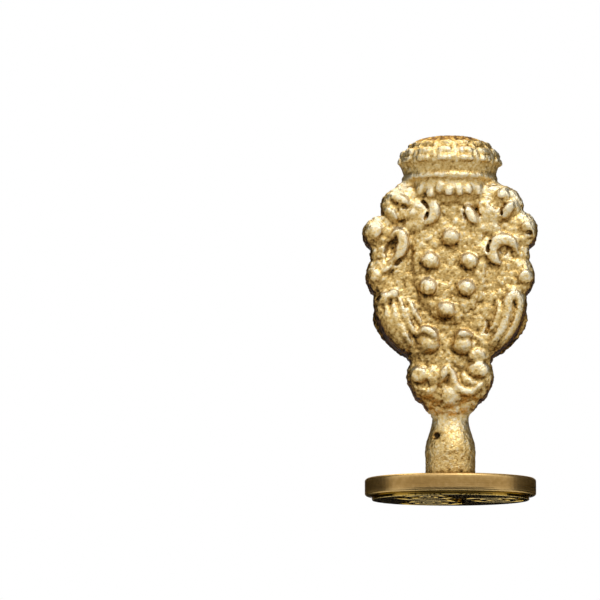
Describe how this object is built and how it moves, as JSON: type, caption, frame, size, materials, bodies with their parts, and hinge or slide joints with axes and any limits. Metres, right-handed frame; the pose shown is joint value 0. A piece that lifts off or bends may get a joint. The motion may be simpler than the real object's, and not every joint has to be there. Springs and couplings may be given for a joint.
{
  "type": "wax seal stamp",
  "caption": "Hand stamp for sealing wax: a cast brass handle shaped as a crowned, scrolled shield, screwed on to a round die engraved with a triple spiral.",
  "frame": {"origin": "centre of the seal face, in the plane that meets the wax", "axes": "+Z along the stamp's axis from the seal face to the crown, -Y towards the front of the shield"},
  "size_m": [0.0246, 0.024, 0.0516],
  "materials": {
    "gilt_casting": "antique gilt, grainy",
    "stud_steel": "zinc plated",
    "die_brass": "polished, turned"
  },
  "bodies": {
    "die": {"seal_die": "die_brass"},
    "stud": {"stud": "stud_steel"},
    "handle": {"handle": "gilt_casting"}
  },
  "joints": [
    {"name": "handle_turn", "type": "hinge", "parent": "die", "child": "stud", "pos_m": [0, 0, 0.003], "axis": [0, 0, 1], "range_deg": [0, 2791]},
    {"name": "handle_lift", "type": "slide", "parent": "stud", "child": "handle", "axis": [0, 0, 1], "range_m": [0, 0.00543]}
  ],
  "couplings": [
    {"joint": "handle_turn", "follows": "handle_lift", "rad_per_m": 8976}
  ]
}
